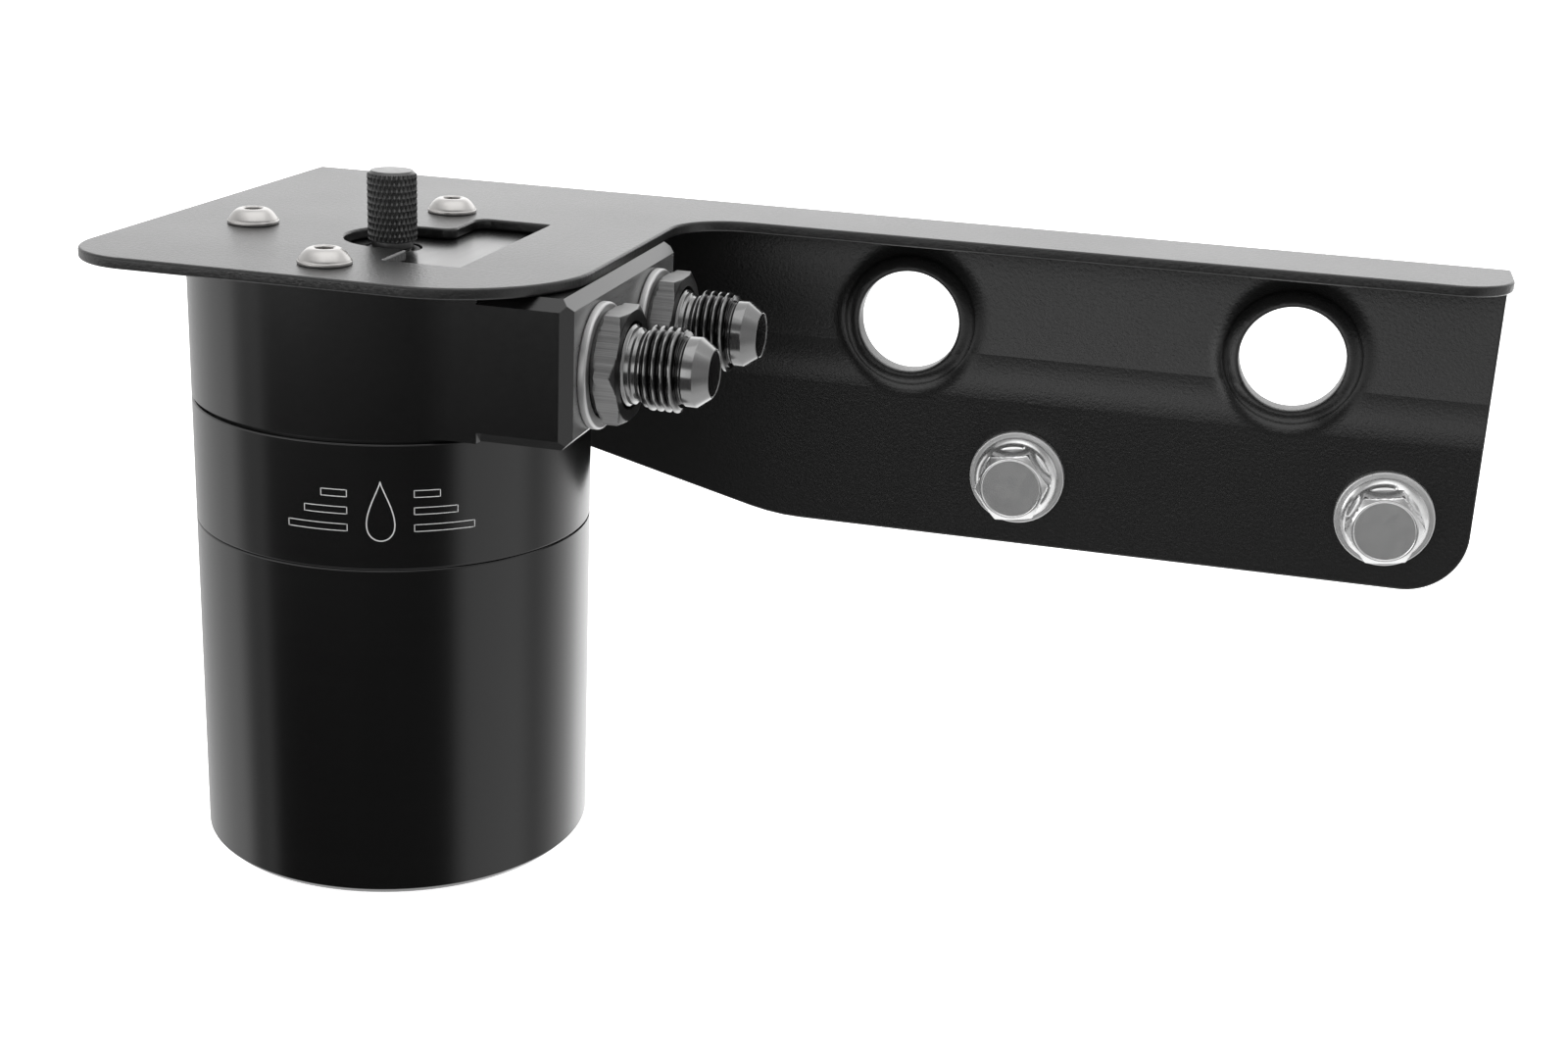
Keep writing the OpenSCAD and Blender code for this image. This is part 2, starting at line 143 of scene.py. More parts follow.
class Graph:
    """Adds nodes to one tree."""

    def __init__(self, tree):
        self.tree = tree

    def node(self, kind, settings=None, inputs=None, output=0):
        """Adds a node: its settings first, then the values or links of its sockets."""
        made = self.tree.nodes.new(kind)
        for key, value in (settings or {}).items():
            if key == "stops":
                for _ in value[2:]:
                    made.color_ramp.elements.new(0.5)
                for element, (place, shade) in zip(made.color_ramp.elements, value):
                    element.position = place
                    element.color = (shade, shade, shade, 1)
            else:
                setattr(made, key, value)
        for key, value in (inputs or {}).items():
            if isinstance(value, Socket):
                self.tree.links.new(value.socket, made.inputs[key])
            else:
                made.inputs[key].default_value = value
        return Socket(self, made.outputs[output]) if len(made.outputs) else made

    def math(self, operation, *values):
        return self.node("ShaderNodeMath", {"operation": operation}, dict(enumerate(values)))

    def clamp(self, value):
        return self.node("ShaderNodeClamp", inputs={"Value": value})

    def ramp(self, stops, value):
        return self.node("ShaderNodeValToRGB", {"stops": stops}, {0: value})

    def smooth(self, value, low, high):
        """Smooth step from 0 at the first limit to 1 at the second."""
        return self.node(
            "ShaderNodeMapRange",
            {"interpolation_type": "SMOOTHSTEP"},
            {"Value": value, "From Min": low, "From Max": high},
        )

    def axes(self, vector):
        """X of a vector. Its Y and Z are the same node's other outputs."""
        return self.node("ShaderNodeSeparateXYZ", inputs={0: vector})

    def polar(self, angle, reach, height=0.0):
        """A vector at an angle and a reach from +Z."""
        x = self.math("COSINE", angle) * reach
        y = self.math("SINE", angle) * reach
        return self.node("ShaderNodeCombineXYZ", inputs={"X": x, "Y": y, "Z": height})

    def noise(self, scale, detail=2.0, roughness=0.5):
        """Noise over the piece. A scale along each axis draws it out into lines."""
        vector = self.place()
        if isinstance(scale, tuple):
            stretch = {0: vector, 1: scale}
            vector = self.node("ShaderNodeVectorMath", {"operation": "MULTIPLY"}, stretch)
            scale = 1.0
        inputs = {"Vector": vector, "Scale": scale, "Detail": detail, "Roughness": roughness}
        return self.node("ShaderNodeTexNoise", inputs=inputs)

    def mix_colour(self, factor, first, second):
        return self.node(
            "ShaderNodeMix", {"data_type": "RGBA"}, {0: factor, 6: first, 7: second}, output=2
        )

    def place(self):
        return self.node("ShaderNodeTexCoord").also("Object")

    def painted_shading_by_facing(self, first, slope):
        """How much a face looks along +X, from 0 below the first share to 1: the mask for painted
        light on the head's port face and painted shade on the hexagons' ends.
        """
        facing = self.node("ShaderNodeNewGeometry").also("True Normal")
        return self.clamp((self.axes(facing) - first) * slope)


# ---- finishes ----


def grey(value, warmth=0.0):
    return (value * (1 + warmth), value, value * (1 - warmth), 1)


def make_finish(name, look, *shades):
    """A Principled material whose sockets come from look(graph, *shades)."""
    label = "finish_" + name
    material = bpy.data.materials.get(label)
    if material:
        return material
    material = bpy.data.materials.new(label)
    material.use_nodes = True
    material.node_tree.nodes.clear()
    graph = Graph(material.node_tree)
    shader = graph.node("ShaderNodeBsdfPrincipled", inputs=look(graph, *shades))
    graph.node("ShaderNodeOutputMaterial", inputs={"Surface": shader})
    return material


def bumped(graph, height, depth, under=None):
    """Normal from a height that runs from 0 to 1, depth metres deep, over another normal."""
    inputs = {"Strength": 1.0, "Distance": depth, "Height": height}
    if under:
        inputs["Normal"] = under
    return graph.node("ShaderNodeBump", inputs=inputs)


def powder_coat(graph, colour):
    """Fine-textured black powder coat, with the faint crease of the flange below its holes."""
    peel = graph.noise(1500, 2.0, 0.55)
    grain = graph.noise(4200, 1.0)
    haze = graph.noise(28)
    axes = graph.axes(graph.place())
    texture = bumped(graph, peel * 0.7 + grain * 0.3, 0.0001)
    crease_z = (FLANGE_Z + 29.5) * MM + AXIS.z
    above = axes.also("Z") - crease_z
    upper = graph.math("MAXIMUM", above, 0.0)
    lower = graph.math("MAXIMUM", 0.0 - above, 0.0)
    lean = graph.math("MINIMUM", upper * upper * 110, upper) * -0.2 - lower * 0.05
    on_flange = graph.math("GREATER_THAN", axes.also("Y"), -0.008)
    return {
        "Base Color": graph.mix_colour(peel, grey(colour * 0.75), grey(colour * 1.3)),
        "Roughness": 0.28 + haze * 0.06 + grain * 0.05,
        "Normal": bumped(graph, lean * on_flange, 1.0, texture),
    }


def turned_black(graph, colour):
    """Satin black anodising over fine turning marks."""
    rings = graph.noise((18, 18, 4200), 2.0, 0.6)
    streaks = graph.noise((110, 110, 7))
    smudge = graph.noise(22)
    return {
        "Base Color": graph.mix_colour(rings, grey(colour * 0.8), grey(colour * 1.25)),
        "Roughness": 0.15 + smudge * 0.06 + streaks * 0.05 + rings * 0.04,
        "Normal": bumped(graph, rings, 0.0000022),
    }


def milled_black(graph, colour):
    """Satin black anodising on the milled head, with painted light making the port face paler."""
    marks = graph.noise((900, 60, 900), 2.0, 0.6)
    smudge = graph.noise(30)
    black = graph.mix_colour(marks, grey(colour * 0.8), grey(colour * 1.25))
    # Painted light: faces that look along +X get this paler colour.
    pale = graph.mix_colour(marks, grey(colour + 0.055), grey(colour + 0.1))
    return {
        "Base Color": graph.mix_colour(graph.painted_shading_by_facing(0.76, 6), black, pale),
        "Roughness": 0.17 + smudge * 0.07 + marks * 0.05,
        "Normal": bumped(graph, marks, 0.000002),
    }


def gloss_black(graph, colour):
    """Gloss black anodising that still shines like metal, with painted shade darkening the thread's
    grooves.
    """
    rings = graph.noise((5200, 40, 40), 2.0, 0.6)
    smudge = graph.noise(160)
    axes = graph.axes(graph.place())
    along = (axes - AXIS.x) / MM - PORT_FACE_X
    across = graph.math("ABSOLUTE", (axes.also("Y") - AXIS.y) / MM) - PORT_PITCH / 2
    rise = (axes.also("Z") - AXIS.z) / MM - PORT_Z
    reach = graph.math("SQRT", across * across + rise * rise)
    threaded = graph.math("GREATER_THAN", along, 9.1) * graph.math("LESS_THAN", along, 15.6)
    # Painted shade: the thread's grooves, found by their radius from the port's axis, are darkened.
    painted_groove_shade = threaded * (1 - graph.clamp((reach - 6.55) * 2.2))
    plain = graph.mix_colour(smudge, grey(colour * 0.85), grey(colour * 1.15))
    return {
        "Base Color": graph.mix_colour(painted_groove_shade, plain, grey(colour * 0.08)),
        "Roughness": 0.13 + smudge * 0.05,
        "Metallic": 0.92,
        "Normal": bumped(graph, rings, 0.000003),
    }


def milled_hexagon(graph, colour):
    """Black anodised hexagon bar, with drawing lines along the bar and painted shade darkening the
    turned ends.
    """
    lines = graph.noise((60, 3600, 3600), 3.0, 0.65)
    sides = graph.mix_colour(lines, grey(colour * 0.4), grey(colour * 1.7))
    return {
        # Painted shade: faces that look along +X, the turned ends, are darkened.
        "Base Color": graph.mix_colour(graph.painted_shading_by_facing(0.25, 4), sides, grey(colour * 0.15)),
        "Roughness": 0.28 + lines * 0.16,
        "Metallic": 0.92,
        "Normal": bumped(graph, lines, 0.00003),
    }


def bright_steel(graph, colour, warmth, rough, blotch):
    """Plated or plain steel with slight stains and fine scratches."""
    stain = graph.noise(420, 3.0, 0.6)
    scratch = graph.noise((900, 5200, 900))
    dull = grey(colour * (1 - blotch), warmth)
    return {
        "Base Color": graph.mix_colour(stain, dull, grey(colour, warmth)),
        "Roughness": rough + stain * 0.08 + scratch * 0.06,
        "Metallic": 0.86,
        "Normal": bumped(graph, stain * 0.6 + scratch * 0.4, 0.0000025),
    }


def knitted_steel(graph, colour):
    """Knitted stainless wire, seen as a fine crossing weave."""
    inputs = {"Vector": graph.place(), "Scale": 900.0}
    wires = graph.node("ShaderNodeTexVoronoi", {"feature": "DISTANCE_TO_EDGE"}, inputs)
    strand = graph.clamp(wires * 7)
    return {
        "Base Color": graph.mix_colour(strand, grey(colour), grey(0.04)),
        "Roughness": 0.3 + strand * 0.4,
        "Metallic": 0.9,
        "Normal": bumped(graph, 1 - strand, 0.0004),
    }


def speckled(graph, scale, shades, rough, metallic, depth, specular=0.5, grain=(3.0, 0.6)):
    """An evenly speckled surface, between two shades and over a range of roughness."""
    speck = graph.noise(scale, *grain)
    return {
        "Base Color": graph.mix_colour(speck, grey(shades[0]), grey(shades[1])),
        "Roughness": rough[0] + speck * rough[1],
        "Metallic": metallic,
        "Specular IOR Level": specular,
        "Normal": bumped(graph, speck, depth),
    }


def bare_aluminium(graph, colour):
    """Matte soft aluminium."""
    return speckled(graph, 1400, (colour * 0.86, colour), (0.42, 0.16), 1.0, 0.00002)


def seal_rubber(graph):
    """Matte black nitrile."""
    return speckled(graph, 900, (0.012, 0.03), (0.55, 0.2), 0.0, 0.00002)


def etched_silver(graph):
    """Laser-etched line through black anodising."""
    return speckled(graph, 6000, (0.5, 0.75), (0.45, 0.15), 0.6, 0.00001, grain=(2.0, 0.5))


def knob_black(graph):
    """Dark anodising with a slight sheen on the knurl's points."""
    return speckled(graph, 700, (0.02, 0.05), (0.26, 0.14), 0.2, 0.00001, specular=0.8)


def floor_paper(graph):
    """Matte white paper that glows a little."""
    return {
        "Base Color": (0.9, 0.9, 0.9, 1),
        "Roughness": 0.9,
        "Specular IOR Level": 0.1,
        "Emission Color": (1, 1, 1, 1),
        "Emission Strength": 0.9,
    }


# ---- shapes ----


def rounded(corners, step=math.radians(9)):
    """Outline through (x, y, radius) corners, with each corner rounded to its radius."""
    outline = []
    for i, (x, y, radius) in enumerate(corners):
        here = Vector((x, y))
        if radius <= 0:
            outline.append(here)
            continue
        before = (Vector(corners[i - 1][:2]) - here).normalized()
        after = (Vector(corners[(i + 1) % len(corners)][:2]) - here).normalized()
        half = before.angle(after) / 2
        centre = here + (before + after).normalized() * (radius / math.sin(half))
        start = here + before * (radius / math.tan(half)) - centre
        end = here + after * (radius / math.tan(half)) - centre
        sweep = start.angle_signed(end)
        count = max(2, math.ceil(abs(sweep) / step))
        for k in range(count + 1):
            turn = Matrix.Rotation(-sweep * k / count, 2)
            outline.append(centre + turn @ start)
    return outline


def arc(x, y, radius, first, last, count):
    """Points along an arc, angles in degrees."""
    angles = [math.radians(first + (last - first) * k / count) for k in range(count + 1)]
    return [Vector((x + radius * math.cos(a), y + radius * math.sin(a))) for a in angles]


def circle(x, y, radius, count):
    return arc(x, y, radius, 0, 360, count)[:-1]


def across_flats(size, turned=0.0):
    """Radius of a hexagon at an angle, with a flat facing angle 0."""
    sixth = TURN / 6

    def radius(angle):
        return size / 2 / math.cos((angle - turned + sixth / 2) % sixth - sixth / 2)

    return radius


def join(bm, rings):
    """Adds the faces between neighbouring closed rings. A ring of one vertex is a pole."""
    for low, high in zip(rings, rings[1:]):
        steps = max(len(low), len(high))
        for k in range(steps):
            n = (k + 1) % steps
            corners = (low[k % len(low)], low[n % len(low)], high[n % len(high)], high[k % len(high)])
            unique = list(dict.fromkeys(corners))
            if len(unique) > 2:
                bm.faces.new(unique)


def add_turned(bm, levels, steps, loop=True):
    """Adds a turned shape along +Z from (radius, height) levels. A radius may be a function."""
    rings = []
    for radius, height in levels:
        if radius == 0:
            rings.append([bm.verts.new((0, 0, height))])
            continue
        ring = []
        for k in range(steps):
            angle = TURN * k / steps
            r = radius(angle) if callable(radius) else radius
            ring.append(bm.verts.new((r * math.cos(angle), r * math.sin(angle), height)))
        rings.append(ring)
    join(bm, rings + rings[:1] if loop else rings)


def move(bm, matrix, verts=None):
    bmesh.ops.transform(bm, matrix=matrix, verts=verts or bm.verts)


def add_mesh(bm, mesh, matrix):
    """Adds a mesh's copy, moved by a matrix, to a bmesh."""
    start = len(bm.verts)
    bm.from_mesh(mesh)
    bm.verts.ensure_lookup_table()
    move(bm, matrix, bm.verts[start:])


def linked(name, data):
    """A new object in the scene."""
    made = bpy.data.objects.new(name, data)
    bpy.context.scene.collection.objects.link(made)
    return made


def finish_mesh(bm, name, crease, matrix=TO_PART):
    """Turns a bmesh in millimetres into a smooth-shaded object in metres."""
    bmesh.ops.remove_doubles(bm, verts=bm.verts, dist=1e-5)
    bmesh.ops.recalc_face_normals(bm, faces=bm.faces)
    move(bm, matrix)
    mesh = bpy.data.meshes.new(name)
    bm.to_mesh(mesh)
    bm.free()
    mesh.shade_smooth()
    mesh.set_sharp_from_angle(angle=math.radians(crease))
    return linked(name, mesh)


def made_plain(piece):
    """Applies a piece's modifiers, so that it is a plain mesh."""
    depsgraph = bpy.context.evaluated_depsgraph_get()
    mesh = bpy.data.meshes.new_from_object(
        piece.evaluated_get(depsgraph), preserve_all_data_layers=True, depsgraph=depsgraph
    )
    piece.modifiers.clear()
    piece.data = mesh
    mesh.name = piece.name
    return piece


def soften(piece):
    """Lets large flat faces set the shading at their edges."""
    weighted = piece.modifiers.new("Soft edges", "WEIGHTED_NORMAL")
    weighted.keep_sharp = True
    return made_plain(piece)


def settle(piece, body, slot, finish, *nodes):
    """Gives a piece its finish and its body, and hides the CAD nodes it stands for; its slot is not
    used.
    """
    if finish:
        piece.data.materials.clear()
        piece.data.materials.append(finish)
    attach(piece, body)
    if nodes:
        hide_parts(*nodes)


def dress(node, finish):
    """Gives a CAD node a finish."""
    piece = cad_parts[node]
    if not piece.data.materials:
        piece.data.materials.append(finish)
    for slot in piece.material_slots:
        slot.material = finish


# ---- geometry node trees ----

CREST_GAP = 0.16
CREST_SLOPE = 1.45
RUN_OUT = 0.9


def new_tree(name, sizes):
    """A geometry node tree with a geometry input, a finish and the inputs named by their kind."""
    tree = bpy.data.node_groups.new(name, "GeometryNodeTree")
    tree.interface.new_socket("Geometry", in_out="INPUT", socket_type="NodeSocketGeometry")
    for kind, labels in {**sizes, "Material": ("Finish",)}.items():
        for label in labels:
            tree.interface.new_socket(label, in_out="INPUT", socket_type="NodeSocket" + kind)
    tree.interface.new_socket("Geometry", in_out="OUTPUT", socket_type="NodeSocketGeometry")
    graph = Graph(tree)
    given = tree.nodes.new("NodeGroupInput")
    return tree, graph, {s.name: Socket(graph, s) for s in given.outputs if s.name}


def end_tree(graph, geometry, finish):
    real = graph.node("GeometryNodeRealizeInstances", inputs={"Geometry": geometry})
    done = graph.node("GeometryNodeSetMaterial", inputs={"Geometry": real, "Material": finish})
    graph.node("NodeGroupOutput", inputs={"Geometry": done})


def run_tree(piece, tree, values):
    """Runs a tree on a piece with its named inputs set, and keeps the plain mesh."""
    modifier = piece.modifiers.new(tree.name, "NODES")
    modifier.node_group = tree
    for item in tree.interface.items_tree:
        if item.in_out == "INPUT" and item.name in values:
            modifier[item.identifier] = values[item.name]
    return made_plain(piece)


def row_tree():
    """Copies a piece along a straight row."""
    kinds = {"Int": ("Count",), "Vector": ("First", "Step")}
    tree, graph, given = new_tree("Row of copies", kinds)
    places = graph.node(
        "GeometryNodeMeshLine",
        {"mode": "OFFSET"},
        {"Count": given["Count"], "Start Location": given["First"], "Offset": given["Step"]},
    )
    copies = graph.node(
        "GeometryNodeInstanceOnPoints", inputs={"Points": places, "Instance": given["Geometry"]}
    )
    end_tree(graph, copies, given["Finish"])
    return tree


def circle_tree():
    """Copies a piece round a circle, each copy turned with its place."""
    angles = ("Radius", "First Angle", "Step Angle")
    kinds = {"Int": ("Count",), "Vector": ("Centre",), "Float": angles}
    tree, graph, given = new_tree("Circle of copies", kinds)
    places = graph.node("GeometryNodePoints", inputs={"Count": given["Count"]})
    index = graph.node("GeometryNodeInputIndex")
    angle = given["First Angle"] + index * given["Step Angle"]
    spot = graph.polar(angle, given["Radius"])
    spot = graph.node("ShaderNodeVectorMath", {"operation": "ADD"}, {0: spot, 1: given["Centre"]})
    places = graph.node("GeometryNodeSetPosition", inputs={"Geometry": places, "Position": spot})
    turn = graph.node("ShaderNodeCombineXYZ", inputs={"Z": angle})
    inputs = {"Points": places, "Instance": given["Geometry"], "Rotation": turn}
    copies = graph.node("GeometryNodeInstanceOnPoints", inputs=inputs)
    end_tree(graph, copies, given["Finish"])
    return tree


def wrapped_grid(graph, given):
    """A unit grid to be wrapped round +Z, with its two coordinates from 0 to 1."""
    counts = {"Vertices X": given["Around"], "Vertices Y": given["Along"]}
    grid = graph.node("GeometryNodeMeshGrid", inputs={"Size X": 1.0, "Size Y": 1.0, **counts})
    axes = graph.axes(graph.node("GeometryNodeInputPosition"))
    return grid, axes.also("X") + 0.5, axes.also("Y") + 0.5


def wrap(graph, grid, turn, share, radius, height):
    """Wraps the grid to a closed round bar of the given radius and height fields."""
    inside = graph.math("GREATER_THAN", share, 0.0001) * graph.math("LESS_THAN", share, 0.9999)
    spot = graph.polar(turn * TURN, radius * inside, height)
    bar = graph.node("GeometryNodeSetPosition", inputs={"Geometry": grid, "Position": spot})
    return graph.node("GeometryNodeMergeByDistance", inputs={"Geometry": bar, "Distance": 0.00001})


def thread_tree():
    """A threaded bar along +Z: V grooves that follow a helix, run out at both ends."""
    kinds = {"Int": ("Around", "Along"), "Float": ("Radius", "Pitch", "Depth", "Length")}
    tree, graph, given = new_tree("Thread", kinds)
    grid, turn, share = wrapped_grid(graph, given)
    height = share * given["Length"]
    phase = graph.math("FRACT", height / given["Pitch"] - turn + 2)
    ridge = graph.math("ABSOLUTE", phase - 0.5) * 2
    ridge = graph.clamp((ridge - CREST_GAP) * CREST_SLOPE)
    root = given["Radius"] - given["Depth"]
    flank = root + ridge * given["Depth"]
    lead_in = root + height * RUN_OUT + given["Depth"] * 0.25
    lead_out = root + (given["Length"] - height) * RUN_OUT + given["Depth"] * 0.25
    radius = graph.math("MINIMUM", flank, graph.math("MINIMUM", lead_in, lead_out))
    end_tree(graph, wrap(graph, grid, turn, share, radius, height), given["Finish"])
    return tree


def knurl_tree():
    """A knurled bar along +Z: two crossing sets of helical grooves, chamfered at both ends."""
    sizes = ("Radius", "Height", "Depth", "Columns", "Diamond Height", "Chamfer")
    tree, graph, given = new_tree("Knurl", {"Int": ("Around", "Along"), "Float": sizes})
    grid, turn, share = wrapped_grid(graph, given)
    height = share * given["Height"]
    column = turn * given["Columns"]
    rise = height / given["Diamond Height"]
    ridges = []
    for phase in (column + rise, column - rise + 40):
        ridges.append(graph.math("ABSOLUTE", graph.math("FRACT", phase) - 0.5) * 2)
    pyramid = graph.math("MINIMUM", 1 - ridges[0], 1 - ridges[1])
    knurled = given["Radius"] - (1 - graph.clamp(pyramid * 1.35)) * given["Depth"]
    top = given["Radius"] - given["Chamfer"] + (given["Height"] - height)
    foot = given["Radius"] - given["Chamfer"] * 0.5 + height
    radius = graph.math("MINIMUM", knurled, graph.math("MINIMUM", top, foot))
    end_tree(graph, wrap(graph, grid, turn, share, radius, height), given["Finish"])
    return tree


def bar_mesh(tree, values):
    """The mesh of a tree that needs no input, as a loose mesh along +Z in millimetres."""
    piece = run_tree(linked("bar", bpy.data.meshes.new("bar")), tree, values)
    mesh = piece.data
    bpy.data.objects.remove(piece)
    return mesh


def thread_mesh(tree, radius, pitch, depth, length, finish):
    """The mesh of a threaded bar, with twelve rows of points to each turn of its thread."""
    values = {"Around": 97, "Along": math.ceil(length / pitch * 12), "Radius": radius}
    values |= {"Pitch": pitch, "Depth": depth, "Length": length, "Finish": finish}
    return bar_mesh(tree, values)


# ---- properties ----


def length(label, text, default):
    return bpy.props.FloatProperty(
        name=label, description=text, default=default * MM, unit="LENGTH", precision=5
    )


def shade(label, text, default):
    return bpy.props.FloatProperty(
        name=label, description=text, default=default, min=0.0, max=1.0, subtype="FACTOR"
    )


class CatchCanSizes(bpy.types.PropertyGroup):
    """Sizes of the details that the CAD parts leave plain."""

    sheet_round: length("Sheet edge", "Rounding of the bracket's sheet edges", 0.5)
    sheet_thickness: length("Sheet thickness", "Thickness of the bracket's sheet", 2.0)
    bend_radius: length("Bend radius", "Outer radius of the bracket's bend", 3.0)
    lip_height: length("Lip height", "Height of the rounded lips round the holes", 3.2)
    lip_reach: length("Lip reach", "Radius at which a lip has died away", 16.4)
    edge_round: length("Can edge", "Rounding of the can's turned edges", 0.35)
    cup_pitch: length("Cup pitch", "Pitch of the thread that holds the cup", 2.0)
    flare_pitch: length("Flare pitch", "Pitch of the flare fittings' thread", 1.41)
    dipstick_pitch: length("Dipstick pitch", "Pitch of the dipstick's thread", 1.0)
    bolt_pitch: length("Bolt pitch", "Pitch of the mounting bolts' thread", 1.25)
    knurl_depth: length("Knurl depth", "Depth of the knob's knurl", 0.36)
    knurl_height: length("Knurl diamond", "Height of one diamond of the knurl", 2.26)
    knurl_columns: bpy.props.IntProperty(
        name="Knurl columns", description="Diamonds round the knob", default=30, min=12
    )


class CatchCanFinishes(bpy.types.PropertyGroup):
    """Shades of the metals and coatings."""

    coat: shade("Powder coat", "Shade of the bracket's powder coat", 0.005)
    anodising: shade("Anodising", "Shade of the can's anodising", 0.0015)
    gloss: shade("Gloss anodising", "Shade of the fittings' anodising", 0.19)
    steel: shade("Steel", "Shade of the stainless screws", 0.44)
    zinc: shade("Zinc", "Shade of the zinc-plated bolts", 0.76)
    aluminium: shade("Aluminium", "Shade of the bare aluminium", 0.5)


# ---- operators ----


class Step(bpy.types.Operator):
    """Shared parts of the building steps."""

    bl_options = {"REGISTER", "UNDO"}

    def execute(self, context):
        self.build(context.scene.catch_can_sizes, context.scene.catch_can_finishes)
        return {"FINISHED"}


class CATCHCAN_OT_bracket(Step):
    """Builds the bracket as flat sheet with rounded edges, then folds it"""

    bl_idname = "catch_can.bracket"
    bl_label = "Bracket"

    def build(self, sizes, finishes):
        thickness = sizes.sheet_thickness / MM
        bend = sizes.bend_radius / MM
        start = FLANGE_BACK - bend
        middle = bend - thickness / 2
        stretch = middle * math.pi / 2

        def unfolded(z):
            return start + stretch + (TOP_Z - bend - z)

        plate_right, strip_front, slope_start = 42, FLANGE_BACK - 22.9, 56
        left_z = FLANGE_Z + (slope_start - PLATE_LEFT) * math.tan(math.radians(14))
        corners = [(PLATE_LEFT, PLATE_FRONT, 13), (plate_right, PLATE_FRONT, 25)]
        corners += [(plate_right, strip_front, 12), (BRACKET_END, strip_front, 11)]
        corners += [(BRACKET_END, unfolded(FLANGE_Z), 12), (slope_start, unfolded(FLANGE_Z), 45)]
        outline = rounded([*corners, (PLATE_LEFT, unfolded(left_z), 0.6)], math.radians(5))
        window = [(20.85, -20, 0.25), (20.85, 22.9, 0.25), (7.1, 22.9, 2.4), (7.1, 10.3, 2.4)]
        window += [(p.x, p.y, 0) for p in arc(2, 0, 10.3, 90, 270, 48)]
        window += [(7.1, -10.3, 0.25), (7.1, -20, 0.25)]
        holes = [rounded(window)]
        holes += [circle(*p, 2.75, 48) for p in arc(0, 0, SCREW_CIRCLE_R, 90, 270, 2)]
        holes += [circle(x, unfolded(BOLT_Z), 4.4, 48) for x in (BOLT_X, BOLT_X + BOLT_PITCH)]
        reach = sizes.lip_reach / MM
        lips = [(x, unfolded(z)) for x, z in LIP_HOLES]
        lip_loops = [circle(x, y, reach, 96) for x, y in lips]
        bm = bmesh.new()
        add_sheet(bm, outline, holes, lip_loops, thickness, sizes.sheet_round / MM)
        for x, y in lips:
            add_lip(bm, x, y, reach, thickness, sizes.lip_height / MM)
        for k in range(13):
            cut = (0, start + stretch * k / 12, 0)
            geom = [*bm.verts, *bm.edges, *bm.faces]
            bmesh.ops.bisect_plane(bm, geom=geom, dist=1e-6, plane_co=cut, plane_no=(0, 1, 0))
        for vert in bm.verts:
            x, y, depth = vert.co
            radius = bend + depth
            if y <= start:
                vert.co = (x, y, TOP_Z + depth)
            elif y <= start + stretch:
                angle = (y - start) / stretch * math.pi / 2
                z = TOP_Z - bend + radius * math.cos(angle)
                vert.co = (x, start + radius * math.sin(angle), z)
            else:
                vert.co = (x, start + radius, TOP_Z - bend - (y - start - stretch))
        piece = soften(finish_mesh(bm, "bracket_sheet", 50))
        finish = make_finish("powder_coat", powder_coat, finishes.coat)
        settle(piece, "can", "powder_coat", finish, "mounting_bracket")


def inset(loop, distance, inward):
    """A closed outline moved sideways into the sheet."""
    moved = []
    count = len(loop)
    for i, here in enumerate(loop):
        first = (here - loop[i - 1]).normalized()
        second = (loop[(i + 1) % count] - here).normalized()
        n1 = Vector((-first.y, first.x))
        n2 = Vector((-second.y, second.x))
        moved.append(here + (n1 + n2) * (distance * inward / (1 + n1.dot(n2))))
    return moved


def signed_area(loop):
    return sum(a.x * b.y - b.x * a.y for a, b in zip(loop, loop[1:] + loop[:1])) / 2


def without_doubles(loop):
    kept = []
    for point in loop:
        if not kept or (point - kept[-1]).length > 1e-4:
            kept.append(point)
    if (kept[0] - kept[-1]).length < 1e-4:
        kept.pop()
    return kept


def add_sheet(bm, outline, holes, open_holes, thickness, edge):
    """Adds flat sheet below z = 0 with rounded edges. Open holes keep a bare rim to build on."""
    loops = []
    for loop in (outline, *holes):
        kept = without_doubles(loop)
        loops.append(kept if (signed_area(kept) > 0) == (not loops) else kept[::-1])
    turns = [math.pi / 2 * k / 4 for k in range(5)]
    levels = [(edge * (1 - math.sin(t)), -edge * (1 - math.cos(t))) for t in turns]
    levels += [(gap, -thickness - depth) for gap, depth in reversed(levels)]
    top = []
    bottom = []
    for loop in loops:
        rings = []
        for gap, depth in levels:
            shifted = inset(loop, gap, 1) if gap > 0 else loop
            rings.append([bm.verts.new((p.x, p.y, depth)) for p in shifted])
        join(bm, rings)
        top.append(rings[0])
        bottom.append(rings[-1])
    for loop in open_holes:
        top.append([bm.verts.new((p.x, p.y, 0)) for p in loop])
        bottom.append([bm.verts.new((p.x, p.y, -thickness)) for p in loop])
    for loops_of_verts in (top, bottom):
        flat = [v for ring in loops_of_verts for v in ring]
        areas = [[Vector((v.co.x, v.co.y, 0)) for v in ring] for ring in loops_of_verts]
        for corners in tessellate_polygon(areas):
            bm.faces.new([flat[c] for c in corners])


